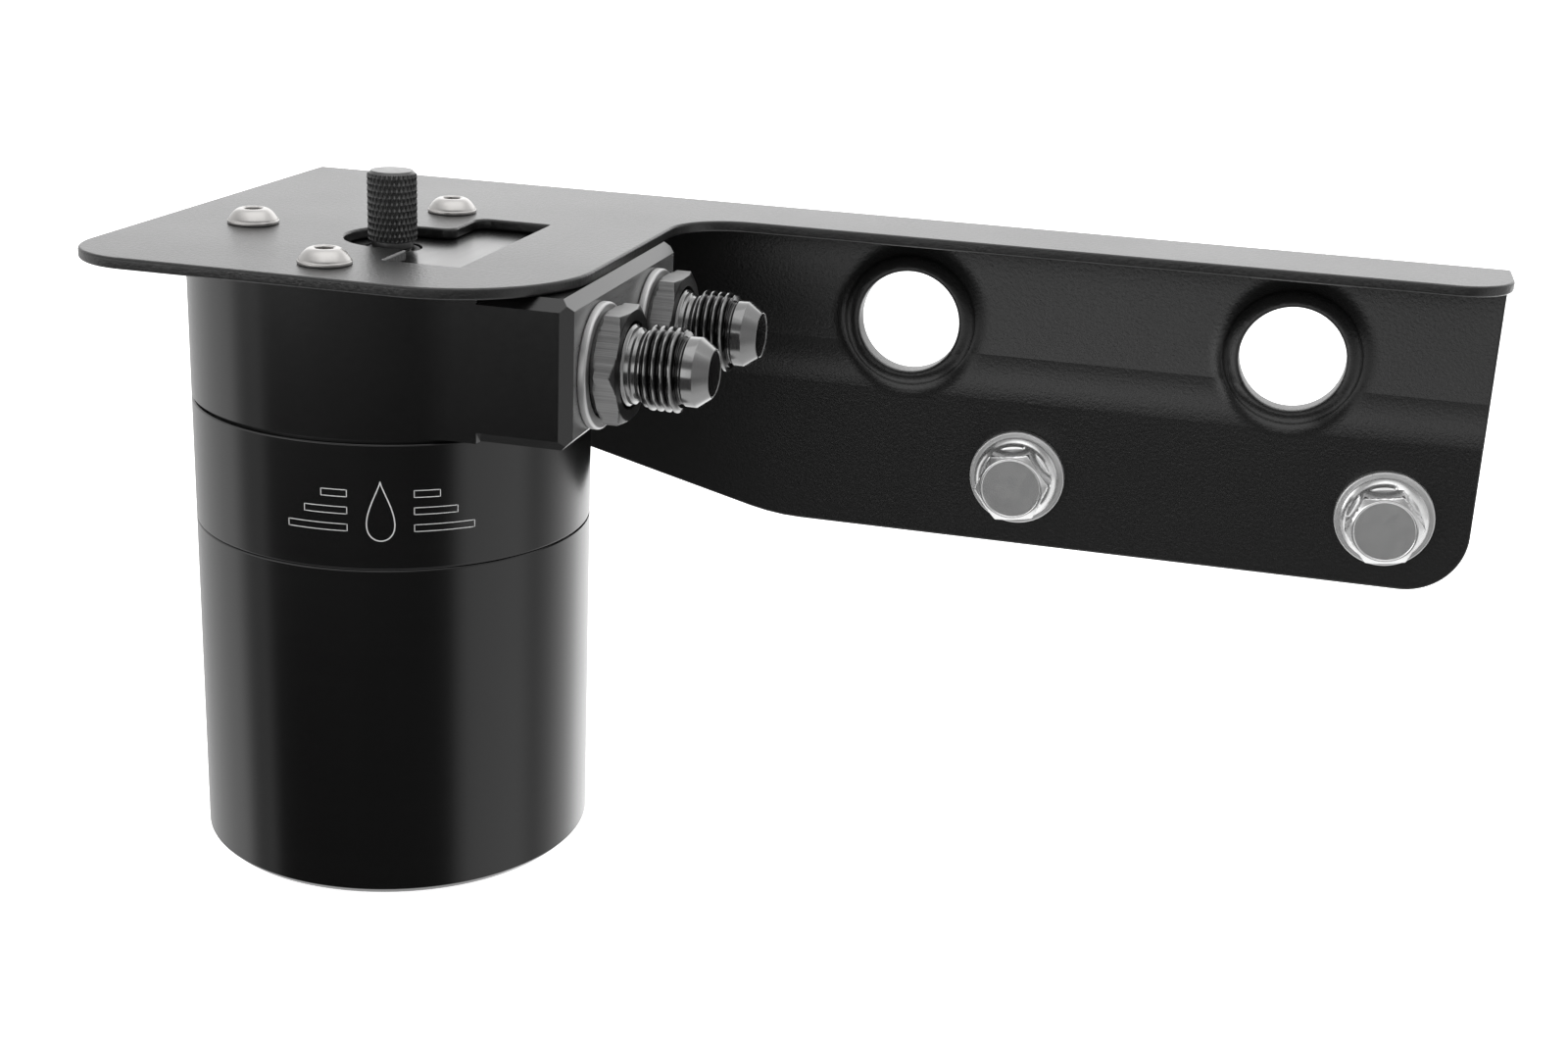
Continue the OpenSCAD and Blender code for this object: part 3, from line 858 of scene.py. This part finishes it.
def add_lip(bm, x, y, reach, thickness, height):
    """Adds the rounded lip of a hole, from the sheet's back over the lip to its front."""
    bore = LIP_BORE_R
    foot = -thickness - height + 0.25
    profile = [(reach, 0.0), (bore + 0.45, 0.0), (bore + 0.13, -0.13), (bore, -0.45)]
    profile += [(bore, foot + 0.8), (bore + 0.14, foot + 0.32), (bore + 0.42, foot + 0.06)]
    for k in range(1, 13):
        angle = math.radians(8 + 60 * k / 12)
        profile.append((bore + 0.1 + 3.3 * math.sin(angle), foot + 3.0 * (1 - math.cos(angle))))
    last_r, last_h = profile[-1]
    for k in range(1, 11):
        t = k / 10
        fall = (1 - t) ** 2.6
        profile.append((last_r + (reach - last_r) * t, -thickness + (last_h + thickness) * fall))
    rings = []
    for radius, depth in profile:
        rings.append([bm.verts.new((p.x, p.y, depth)) for p in circle(x, y, radius, 96)])
    join(bm, rings)
    bmesh.ops.remove_doubles(bm, verts=bm.verts, dist=1e-4)


class CATCHCAN_OT_bracket_screws(Step):
    """Builds the button-head screws that hold the head under the bracket"""

    bl_idname = "catch_can.bracket_screws"
    bl_label = "Bracket screws"

    def build(self, sizes, finishes):
        finish = make_finish("stainless", bright_steel, finishes.steel, *STAINLESS)
        bm = bmesh.new()
        socket = across_flats(3.0)
        levels = [(0, -12), (2.2, -12), (2.5, -11.7), (2.5, 0), (4.4, 0), (4.5, 0.06)]
        levels += [(4.55, 0.16), (4.55, 0.52), (4.5, 0.64), (4.4, 0.7)]
        for k in range(11):
            share = k / 10
            levels.append((4.4 - 2.3 * share, 0.72 + 1.96 * (1 - (1 - share) ** 2.0)))
        levels += [(1.9, 2.7), (1.84, 2.66), (socket, 2.5), (socket, 1.2), (1.2, 1.0), (0, 0.7)]
        add_turned(bm, levels, 96, loop=False)
        screw = finish_mesh(bm, "bracket_screw_heads", 38, TO_METRES)
        values = {"Count": 3, "Centre": AXIS + Vector((0, 0, TOP_Z)) * MM, "Finish": finish}
        values["Radius"] = SCREW_CIRCLE_R * MM
        values["First Angle"] = values["Step Angle"] = math.pi / 2
        piece = run_tree(screw, circle_tree(), values)
        settle(piece, "can", "stainless", None, "bracket_screws")


class CATCHCAN_OT_mounting_bolts(Step):
    """Builds the flange bolts that hold the bracket, and their flat washers"""

    bl_idname = "catch_can.mounting_bolts"
    bl_label = "Mounting bolts"

    def build(self, sizes, finishes):
        finish = make_finish("zinc", bright_steel, finishes.zinc, *ZINC)
        hexagon = across_flats(12.9, math.radians(-22))
        thread = thread_mesh(thread_tree(), 4.0, sizes.bolt_pitch / MM, 0.72, 16.2, finish)
        bm = bmesh.new()
        levels = [(0, -4.2), (4.15, -4.2), (4.15, 0), (8.2, 0), (8.36, 0.1), (8.4, 0.3)]
        levels += [(8.4, 0.6), (8.3, 0.8), (7.9, 1.0), (7.3, 1.5), (6.95, 2.0)]
        levels += [(hexagon, z) for z in (2.05, 2.4, 4.0, 6.0)]
        levels += chamfered(hexagon, 6.25, 7.84, (7.1, 7.82))
        levels += [(6.05, 7.97), (5.9, 8.0), (5.75, 7.96), (5.65, 7.86), (0, 7.86)]
        add_turned(bm, levels, 144, loop=False)
        add_mesh(bm, thread, Matrix.Translation((0, 0, -20)))
        towards_front = Matrix.Rotation(math.radians(90), 4, "X")
        move(bm, Matrix.Translation((0, -SHEET_T - WASHER_T, 0)) @ towards_front)
        bolt = soften(finish_mesh(bm, "mounting_bolt_heads", 32, TO_METRES))
        first = AXIS + Vector((BOLT_X, FLANGE_BACK, BOLT_Z)) * MM
        step = Vector((BOLT_PITCH * MM, 0, 0))
        values = {"Count": 2, "First": first, "Step": step, "Finish": finish}
        rows = row_tree()
        piece = run_tree(bolt, rows, values)
        settle(piece, "can", "zinc", None, "mounting_bolts")
        bm = bmesh.new()
        washer = rounded([(4.4, 0, 0.1), (9.5, 0, 0.25), (9.5, WASHER_T, 0.45), (4.4, WASHER_T, 0.15)])
        add_turned(bm, washer, 128)
        move(bm, Matrix.Translation((0, -SHEET_T, 0)) @ towards_front)
        washer = soften(finish_mesh(bm, "flat_washer_pair", 35, TO_METRES))
        satin = make_finish("washer_zinc", bright_steel, finishes.zinc * 0.82, *SATIN_ZINC)
        piece = run_tree(washer, rows, {**values, "Finish": satin})
        settle(piece, "can", "zinc", None, "flat_washers")


def chamfered(hexagon, radius, top, span):
    """Seven levels of a hexagon whose corners are turned down to a radius at its top."""
    low, high = span
    levels = []
    for k in range(7):
        z = low + (high - low) * k / 6
        levels.append((lambda angle, z=z: min(hexagon(angle), radius + (top - z) * 1.7), z))
    return levels


class CATCHCAN_OT_can(Step):
    """Builds the cup and the collar ring, and finishes the head"""

    bl_idname = "catch_can.can"
    bl_label = "Can"

    def build(self, sizes, finishes):
        finish = make_finish("turned_black", turned_black, finishes.anodising)
        edge = sizes.edge_round / MM
        threads = thread_tree()
        bore = CAN_R - 3.95
        seat = RING_Z - 2.05
        corners = [(CAN_R - 1.2, 0, 0.15), (CAN_R, 1.2, 0.2), (CAN_R, RING_Z, edge)]
        corners += [(bore + 2.95, RING_Z, 0.1), (bore + 2.95, seat, 0.1), (bore + 0.8, seat, 0.1)]
        corners += [(bore + 0.8, RING_Z, 0.1), (bore, RING_Z, 0.3), (bore, 4, 1.5)]
        cup = rounded(corners, math.radians(15))
        levels = [(0, 0.5), (26, 0.5), (26.5, 0.0), *cup, (0, 4)]
        bm = bmesh.new()
        add_turned(bm, levels, 256, loop=False)
        piece = soften(finish_mesh(bm, "cup_shell", 30))
        settle(piece, "cup", "black_anodised", finish, "cup")
        inner = bore - 4.05
        head_r = bore - 1.5
        corners = [(inner, RING_Z - 12, 0.2), (bore - 1.1, RING_Z - 12, 0.2)]
        corners += [(bore - 1.1, RING_Z, 0), (CAN_R, RING_Z, edge), (CAN_R, HEAD_Z, edge)]
        corners += [(head_r, HEAD_Z, 0.1), (head_r, HEAD_Z - 10, 0), (inner, HEAD_Z - 10, 0.1)]
        ring = rounded(corners, math.radians(15))
        bm = bmesh.new()
        add_turned(bm, ring, 256)
        add_spigot_thread(bm, bore - 0.1, sizes.cup_pitch / MM, 10.5, RING_Z - 11.6)
        piece = soften(finish_mesh(bm, "collar_ring_shell", 30))
        settle(piece, "can", "black_anodised", finish, "collar_ring")
        dress("head", make_finish("milled_black", milled_black, finishes.anodising))


def add_spigot_thread(bm, radius, pitch, length, start, depth=0.75):
    """Adds a tube whose outer radius follows a thread that runs out at both ends."""
    root = radius - depth
    levels = []
    for j in range(65):
        height = length * j / 64
        end = root + min(height, length - height) * RUN_OUT + 0.1

        def outer(angle, height=height, end=end):
            phase = (height / pitch - angle / TURN) % 1.0
            ridge = (abs(phase - 0.5) * 2 - CREST_GAP) * CREST_SLOPE
            return min(root + min(1.0, max(0.0, ridge)) * depth, end)

        levels.append((outer, start + height))
    levels += [(root - 0.5, start + length), (root - 0.5, start)]
    add_turned(bm, levels, 192)


class CATCHCAN_OT_drop_mark(Step):
    """Etches a plain oil-drop outline into the collar ring"""

    bl_idname = "catch_can.drop_mark"
    bl_label = "Drop mark"

    def build(self, sizes, finishes):
        facing = math.radians(-70)
        middle = (RING_Z + HEAD_Z) / 2 - 0.6
        drop = []
        for k in range(96):
            t = TURN * k / 96
            drop.append((3.4 * math.sin(t) * math.sin(t / 2) ** 1.6, 5.2 * math.cos(t)))
        bm = bmesh.new()
        add_line(bm, drop, facing, middle, 0.2)
        for side in (-1, 1):
            for rise, reach in ((-3.0, 16.0), (0.0, 13.0), (3.0, 10.0)):
                bar = [(side * (5.6 + (reach - 5.6) * k / 24), rise - 0.6) for k in range(25)]
                bar += [(x, rise + 0.6) for x, y in reversed(bar)]
                add_line(bm, bar, facing, middle, 0.13)
        piece = finish_mesh(bm, "etched_drop_mark", 60)
        settle(piece, "can", "bare_aluminium", make_finish("etched_silver", etched_silver))


def add_line(bm, path, facing, middle, width):
    """Adds a closed line of the given width on the can's round face."""
    count = len(path)
    points = [Vector(p) for p in path]
    rings = []
    for i, here in enumerate(points):
        along = (points[(i + 1) % count] - points[i - 1]).normalized()
        side = Vector((-along.y, along.x)) * (width / 2)
        ring = []
        corners = ((here - side, -0.05), (here - side, 0.02), (here + side, 0.02))
        for place, lift in (*corners, (here + side, -0.05)):
            angle = facing + place.x / CAN_R
            r = CAN_R + lift
            spot = (r * math.cos(angle), r * math.sin(angle), middle + place.y)
            ring.append(bm.verts.new(spot))
        rings.append(ring)
    join(bm, rings + rings[:1])


class CATCHCAN_OT_fittings(Step):
    """Builds the two flare fittings with their threads, hexagons and crush washers"""

    bl_idname = "catch_can.fittings"
    bl_label = "Fittings"

    def build(self, sizes, finishes):
        gloss = make_finish("gloss_black", gloss_black, finishes.gloss)
        hexed = make_finish("milled_hexagon", milled_hexagon, finishes.gloss * 0.85)
        bare = make_finish("bare_aluminium", bare_aluminium, finishes.aluminium)
        first_port = Matrix.Translation((PORT_FACE_X, -PORT_PITCH / 2, PORT_Z))
        to_port = TO_PART @ first_port @ Matrix.Rotation(math.radians(90), 4, "Y")
        step = Vector((0, PORT_PITCH * MM, 0))
        values = {"Count": 2, "First": Vector((0, 0, 0)), "Step": step, "Finish": gloss}
        rows = row_tree()
        bm = bmesh.new()
        corners = [(3.77, -12, 0.2), (8.0, -12, 0.4), (8.0, 2.0, 0), (6.0, 5.9, 0), (6.9, 6.0, 0)]
        corners += [(6.9, 6.25, 0.2), (6.45, 6.6, 0.25), (6.45, 7.35, 0.2), (5.95, 7.7, 0.2)]
        corners += [(5.95, 8.3, 0.3), (6.2, 8.9, 0.2), (6.2, 9.4, 0), (6.0, 9.6, 0), (6.0, 15.0, 0)]
        corners += [(5.55, 15.5, 0.2), (5.55, 15.9, 0.2), (5.9, 16.2, 0.12), (5.9, 18.0, 0.25)]
        corners += [(4.05, 20.5, 0.2), (3.77, 20.35, 0.1)]
        add_turned(bm, rounded(corners, math.radians(15)), 128)
        thread = thread_mesh(thread_tree(), 7.14, sizes.flare_pitch / MM, 0.86, 6.4, gloss)
        open_thread(bm, thread, Matrix.Translation((0, 0, 9.15)), 5.5)
        piece = run_tree(soften(finish_mesh(bm, "flare_fittings", 32, to_port)), rows, values)
        settle(piece, "can", "gloss_anodised", None, "inlet_fitting", "outlet_fitting")
        bm = bmesh.new()
        across = across_flats(18.5)
        levels = [(7.5, 1.5), (8.7, 1.5), (8.85, 1.6), (9.15, 2.2)]
        for z in (2.3, 2.5):
            levels.append((lambda a, z=z: min(across(a), 9.55 + (z - 2.3) * 1.7), z))
        levels += [(across, z) for z in (2.8, 3.2, 4.6, 5.2)]
        levels += chamfered(across, 9.35, 6.2, (5.3, 6.18))
        add_turned(bm, [*levels, (9.15, 6.2), (7.5, 6.2)], 144)
        piece = soften(finish_mesh(bm, "fitting_hexagons", 28, to_port))
        piece = run_tree(piece, rows, {**values, "Finish": hexed})
        settle(piece, "can", "gloss_anodised", None)
        bm = bmesh.new()
        washer = rounded([(8.7, 0, 0.2), (10.8, 0, 0.3), (10.8, 1.5, 0.5), (8.7, 1.5, 0.3)])
        add_turned(bm, washer, 128)
        move(bm, Matrix.Translation((0.6, 0, 0)))
        piece = soften(finish_mesh(bm, "crush_washer_pair", 35, to_port))
        piece = run_tree(piece, rows, {**values, "Finish": bare})
        settle(piece, "can", "bare_aluminium", None, "inlet_crush_washer", "outlet_crush_washer")


def open_thread(bm, mesh, matrix, core):
    """Adds a threaded bar with its end caps opened out to a hidden core radius."""
    start = len(bm.verts)
    bm.from_mesh(mesh)
    bm.verts.ensure_lookup_table()
    fresh = bm.verts[start:]
    poles = [v for v in fresh if v.co.xy.length < 1e-6]
    cores = []
    for pole in sorted(poles, key=lambda v: v.co.z):
        end = [e.other_vert(pole) for e in pole.link_edges]
        end.sort(key=lambda v: math.atan2(v.co.y, v.co.x))
        spots = [v.co.xy.normalized() * core for v in end]
        cores.append([bm.verts.new((spot.x, spot.y, pole.co.z)) for spot in spots])
        join(bm, [end, cores[-1]])
    bmesh.ops.delete(bm, geom=poles, context="VERTS")
    join(bm, cores)
    bm.verts.ensure_lookup_table()
    move(bm, matrix, bm.verts[start:])


class CATCHCAN_OT_dipstick(Step):
    """Builds the knurled dipstick knob and its threaded shank"""

    bl_idname = "catch_can.dipstick"
    bl_label = "Dipstick"

    def build(self, sizes, finishes):
        finish = make_finish("knob_black", knob_black)
        foot = PLATE_Z + 1.3
        columns = sizes.knurl_columns
        values = {"Around": columns * 10 + 1, "Along": 131, "Radius": 4.35, "Chamfer": 0.8}
        values |= {"Height": KNOB_TIP - foot, "Depth": sizes.knurl_depth / MM, "Finish": finish}
        values |= {"Columns": float(columns), "Diamond Height": sizes.knurl_height / MM}
        bm = bmesh.new()
        add_mesh(bm, bar_mesh(knurl_tree(), values), Matrix.Translation((0, 0, foot)))
        neck = [(0, PLATE_Z + 0.12), (3.5, PLATE_Z + 0.12), (3.65, PLATE_Z + 0.25)]
        neck += [(3.65, foot - 0.3), (3.4, foot + 0.4), (0, foot + 0.4)]
        add_turned(bm, neck, 96, loop=False)
        thread = thread_mesh(thread_tree(), 3.5, sizes.dipstick_pitch / MM, 0.55, 8.1, finish)
        add_mesh(bm, thread, Matrix.Translation((0, 0, PLATE_Z - 8)))
        piece = soften(finish_mesh(bm, "knurled_knob", 24))
        settle(piece, "dipstick", "black_anodised", finish, "dipstick_knob")
        steel = make_finish("stainless", bright_steel, finishes.steel, *STAINLESS)
        dress("dipstick_rod", steel)


class CATCHCAN_OT_inner_parts(Step):
    """Finishes the seals and the separator inside the can"""

    bl_idname = "catch_can.inner_parts"
    bl_label = "Inner parts"

    def build(self, sizes, finishes):
        rubber = make_finish("seal_rubber", seal_rubber)
        bare = make_finish("bare_aluminium", bare_aluminium, finishes.aluminium)
        for node in ("head_o_ring", "cup_o_ring", "dipstick_o_ring"):
            dress(node, rubber)
        for node in ("drop_tube", "upper_baffle", "lower_baffle"):
            dress(node, bare)
        dress("filter_mesh", make_finish("knitted_steel", knitted_steel, 0.6))
        dress("baffle_circlip", make_finish("zinc", bright_steel, finishes.zinc, *ZINC))


# Light around the can, as (share of a turn, brightness): below, level with it and above
LOW_LIGHT = ((0.0, 1.1), (0.03, 1.3), (0.055, 0.4), (0.075, 0.35), (0.09, 0.75), (0.105, 0.06))
LOW_LIGHT += ((0.40, 0.06), (0.425, 1.05), (0.53, 1.1), (0.56, 0.5), (0.60, 0.9), (0.70, 2.4))
LOW_LIGHT += ((0.85, 0.9), (1.0, 1.1))
BAND_LIGHT = ((0.0, 0.9), (0.1, 2.0), (0.16, 2.6), (0.22, 1.7), (0.3, 1.1), (0.4, 0.5))
BAND_LIGHT += ((0.5, 0.9), (0.78, 1.4), (1.0, 0.9))
HIGH_LIGHT = ((0.0, 0.8), (0.15, 0.3), (0.38, 0.25), (0.5, 0.9), (0.78, 1.45), (1.0, 0.8))
CAMERA_PLACE = Vector((0.01426, -0.41146, 0.12252))
CAMERA_TURN = (13.426, 18.205, 2.638)
CAMERA_LENS = 48.85


class CATCHCAN_OT_studio(Step):
    """Sets the camera, the pale floor and the soft studio light"""

    bl_idname = "catch_can.studio"
    bl_label = "Studio"

    def build(self, sizes, finishes):
        scene = bpy.context.scene
        scene.view_settings.view_transform = "Standard"
        camera_data = bpy.data.cameras.new("camera")
        camera = linked("camera", camera_data)
        camera_data.lens = CAMERA_LENS
        camera_data.sensor_width = 36
        camera_data.clip_start = 0.01
        yaw, pitch, roll = (math.radians(a) for a in CAMERA_TURN)
        level = Vector((math.cos(yaw), math.sin(yaw), 0))
        ahead = Vector((-level.y, level.x, 0)) * math.cos(pitch) - Vector((0, 0, math.sin(pitch)))
        above = level.cross(ahead)
        right = math.cos(roll) * level + math.sin(roll) * above
        up = -math.sin(roll) * level + math.cos(roll) * above
        pose = Matrix((right, up, -ahead)).transposed().to_4x4()
        pose.translation = CAMERA_PLACE
        camera.matrix_world = pose
        scene.camera = camera
        self.add_floor()
        self.add_world(scene)
        self.add_lamp("back softbox", (-0.25, 1.5, 0.55), (0, 0, 0.03), 2.6, 0.9, 6)
        self.add_lamp("top softbox", (0.1, -0.1, 1.3), (0, 0, 0), 1.6, 1.2, 4)

    def add_floor(self):
        bm = bmesh.new()
        bmesh.ops.create_circle(bm, cap_ends=True, segments=96, radius=60)
        move(bm, Matrix.Translation((AXIS.x, AXIS.y, AXIS.z - 0.008)))
        mesh = bpy.data.meshes.new("floor")
        bm.to_mesh(mesh)
        bm.free()
        floor = linked("floor", mesh)
        mesh.materials.append(make_finish("floor_paper", floor_paper))
        floor.visible_glossy = False

    def add_world(self, scene):
        """Light that changes with direction for reflections, and plain white for the camera."""
        world = bpy.data.worlds.new("studio")
        scene.world = world
        world.use_nodes = True
        world.node_tree.nodes.clear()
        graph = Graph(world.node_tree)
        axes = graph.axes(graph.node("ShaderNodeTexCoord"))
        height = axes.also("Z")
        bearing = graph.math("ARCTAN2", axes.also("Y"), axes) / TURN + 0.5
        band = graph.ramp(BAND_LIGHT, bearing)
        overhead = graph.smooth(height, 0.62, 0.8)
        high = graph.mix_colour(overhead, graph.ramp(HIGH_LIGHT, bearing), grey(1.3))
        high = graph.mix_colour(graph.smooth(height, 0.22, 0.4), band, high)
        underfoot = graph.smooth(height, -0.68, -0.84)
        low = graph.mix_colour(underfoot, graph.ramp(LOW_LIGHT, bearing), grey(1.3))
        glow = graph.mix_colour(graph.smooth(height, -0.17, -0.09), low, high)
        seen = graph.node("ShaderNodeLightPath").also("Is Camera Ray")
        glow = graph.mix_colour(seen, glow, grey(1.05))
        background = graph.node("ShaderNodeBackground", inputs={"Color": glow, "Strength": 1.0})
        graph.node("ShaderNodeOutputWorld", inputs={"Surface": background})

    def add_lamp(self, name, place, target, width, height, power):
        lamp_data = bpy.data.lights.new(name, "AREA")
        lamp_data.shape = "RECTANGLE"
        lamp_data.size = width
        lamp_data.size_y = height
        lamp_data.energy = power
        lamp = linked(name, lamp_data)
        lamp.location = place
        aim = Vector(target) - Vector(place)
        lamp.rotation_euler = aim.to_track_quat("-Z", "Y").to_euler()


class CATCHCAN_PT_panel(bpy.types.Panel):
    """Lists the building steps, the sizes and the finishes"""

    bl_label = "Catch Can"
    bl_idname = "CATCHCAN_PT_panel"
    bl_space_type = "VIEW_3D"
    bl_region_type = "UI"
    bl_category = "Catch Can"

    def draw(self, context):
        for step in STEPS:
            self.layout.operator(step.bl_idname)
        for group in (context.scene.catch_can_sizes, context.scene.catch_can_finishes):
            for name in group.__annotations__:
                self.layout.prop(group, name)


STEPS = (
    CATCHCAN_OT_studio,
    CATCHCAN_OT_bracket,
    CATCHCAN_OT_bracket_screws,
    CATCHCAN_OT_mounting_bolts,
    CATCHCAN_OT_can,
    CATCHCAN_OT_drop_mark,
    CATCHCAN_OT_fittings,
    CATCHCAN_OT_dipstick,
    CATCHCAN_OT_inner_parts,
)
CLASSES = (CatchCanSizes, CatchCanFinishes, *STEPS, CATCHCAN_PT_panel)


def register():
    for cls in CLASSES:
        bpy.utils.register_class(cls)
    bpy.types.Scene.catch_can_sizes = bpy.props.PointerProperty(type=CatchCanSizes)
    bpy.types.Scene.catch_can_finishes = bpy.props.PointerProperty(type=CatchCanFinishes)


def unregister():
    del bpy.types.Scene.catch_can_finishes
    del bpy.types.Scene.catch_can_sizes
    for cls in reversed(CLASSES):
        bpy.utils.unregister_class(cls)


def main():
    register()
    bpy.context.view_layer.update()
    bpy.ops.catch_can.studio()
    bpy.ops.catch_can.bracket()
    bpy.ops.catch_can.bracket_screws()
    bpy.ops.catch_can.mounting_bolts()
    bpy.ops.catch_can.can()
    bpy.ops.catch_can.drop_mark()
    bpy.ops.catch_can.fittings()
    bpy.ops.catch_can.dipstick()
    bpy.ops.catch_can.inner_parts()


if __name__ == "__main__":
    main()
